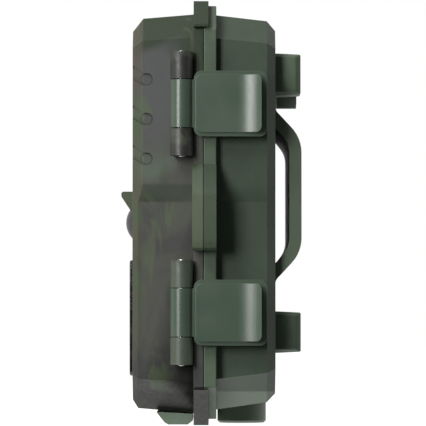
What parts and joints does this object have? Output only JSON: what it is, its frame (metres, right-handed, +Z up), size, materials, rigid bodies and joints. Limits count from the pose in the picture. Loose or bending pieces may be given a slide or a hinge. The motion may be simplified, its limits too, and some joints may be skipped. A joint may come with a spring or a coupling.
{
  "type": "trail camera",
  "caption": "Weatherproof trail camera: hinged two-part case with side latches, infrared flash window, hooded movement sensor, lens, strap bridge and cell tray.",
  "frame": {"origin": "middle of the bounding box at the floor that the camera stands on", "axes": "+Z up, -Y is where the lens looks, +X is the latch side"},
  "size_m": [0.117, 0.0648, 0.151],
  "materials": {
    "camo_shell": "moulded plastic with a soft woodland camouflage print",
    "green_shell": "moulded plastic, fine satin texture",
    "latch_green": "smooth satin moulded plastic",
    "black_plastic": "black moulded plastic",
    "seal_rubber": "soft black silicone",
    "port_rubber": "soft green rubber",
    "steel": "bright steel",
    "brass": "machined brass",
    "cell_wrap": "shrink wrapped cell",
    "board": "solder mask on glass fibre",
    "dark_window": "dark infrared window",
    "lamp_clear": "clear epoxy lamp",
    "clear_window": "clear window",
    "lens_glass": "coated glass",
    "dark_dome": "dark ribbed sensor lens",
    "key_grey": "grey silicone and plastic keys",
    "screen": "switched-off colour screen"
  },
  "bodies": {
    "rear_half": {"rear_case": "green_shell", "rear_flange": "green_shell", "rear_ear": "green_shell", "rear_knuckles": "green_shell", "case_gasket": "seal_rubber", "battery_tray": "black_plastic", "batteries": "cell_wrap", "battery_springs": "steel", "battery_contacts": "steel", "tray_screws": "steel", "hinge_pins": "steel", "bark_rests": "green_shell", "strap_bridge": "green_shell", "rear_insert": "brass", "tripod_insert": "brass"},
    "front_half": {"front_case": "camo_shell", "front_flange": "camo_shell", "front_ear": "camo_shell", "front_knuckles": "camo_shell", "latch_knuckles": "camo_shell", "control_panel": "black_plastic", "panel_screws": "steel", "lcd_display": "screen", "main_board": "board", "tact_switches": "black_plastic", "switch_body": "steel", "sd_socket": "steel", "usb_port": "steel", "av_jack": "black_plastic", "speaker": "steel", "flash_window": "dark_window", "led_board": "board", "flash_leds": "lamp_clear", "lens_window": "clear_window", "lens_barrel": "black_plastic", "lens_glass": "lens_glass", "lens_holder": "black_plastic", "image_sensor": "screen", "pir_dome": "dark_dome", "pir_sensor": "steel", "light_sensor": "clear_window", "status_led": "dark_window", "microphone": "steel", "latch_pins": "steel", "dc_jack": "black_plastic"},
    "upper_latch": {"upper_latch": "latch_green", "upper_catch": "latch_green"},
    "lower_latch": {"lower_latch": "latch_green", "lower_catch": "latch_green"},
    "power_slider": {"power_slider": "key_grey"},
    "sd_card": {"sd_card": "black_plastic"},
    "port_cover": {"port_cover": "port_rubber"},
    "ir_cut_filter": {"ir_cut_filter": "lens_glass"},
    "button_up": {"button_up": "key_grey"},
    "button_down": {"button_down": "key_grey"},
    "button_left": {"button_left": "key_grey"},
    "button_right": {"button_right": "key_grey"},
    "button_ok": {"button_ok": "key_grey"},
    "button_menu": {"button_menu": "key_grey"}
  },
  "joints": [
    {"name": "case_hinge", "type": "hinge", "parent": "rear_half", "child": "front_half", "pos_m": [-0.0545, -0.003, 0.075], "axis": [0, 0, -1], "range_deg": [0, 150]},
    {"name": "upper_latch_hinge", "type": "hinge", "parent": "front_half", "child": "upper_latch", "pos_m": [0.0512, -0.0107, 0.1138], "axis": [0, 0, -1], "range_deg": [0, 120]},
    {"name": "lower_latch_hinge", "type": "hinge", "parent": "front_half", "child": "lower_latch", "pos_m": [0.0512, -0.0107, 0.04], "axis": [0, 0, -1], "range_deg": [0, 120]},
    {"name": "power_switch", "type": "slide", "parent": "front_half", "child": "power_slider", "axis": [1, 0, 0], "range_m": [0, 0.006]},
    {"name": "card_eject", "type": "slide", "parent": "front_half", "child": "sd_card", "axis": [0, 0, 1], "range_m": [0, 0.004]},
    {"name": "port_cover_hinge", "type": "hinge", "parent": "front_half", "child": "port_cover", "pos_m": [-0.001, -0.013, 0.0042], "axis": [0, 1, 0], "range_deg": [0, 75]},
    {"name": "night_filter", "type": "slide", "parent": "front_half", "child": "ir_cut_filter", "axis": [1, 0, 0], "range_m": [0, 0.009]},
    {"name": "press_up", "type": "slide", "parent": "front_half", "child": "button_up", "axis": [0, -1, 0], "range_m": [0, 0.0005], "stiffness_N_per_m": 400, "springref_m": -0.0004},
    {"name": "press_down", "type": "slide", "parent": "front_half", "child": "button_down", "axis": [0, -1, 0], "range_m": [0, 0.0005], "stiffness_N_per_m": 400, "springref_m": -0.0004},
    {"name": "press_left", "type": "slide", "parent": "front_half", "child": "button_left", "axis": [0, -1, 0], "range_m": [0, 0.0005], "stiffness_N_per_m": 400, "springref_m": -0.0004},
    {"name": "press_right", "type": "slide", "parent": "front_half", "child": "button_right", "axis": [0, -1, 0], "range_m": [0, 0.0005], "stiffness_N_per_m": 400, "springref_m": -0.0004},
    {"name": "press_ok", "type": "slide", "parent": "front_half", "child": "button_ok", "axis": [0, -1, 0], "range_m": [0, 0.0005], "stiffness_N_per_m": 400, "springref_m": -0.0004},
    {"name": "press_menu", "type": "slide", "parent": "front_half", "child": "button_menu", "axis": [0, -1, 0], "range_m": [0, 0.0005], "stiffness_N_per_m": 400, "springref_m": -0.0004}
  ]
}
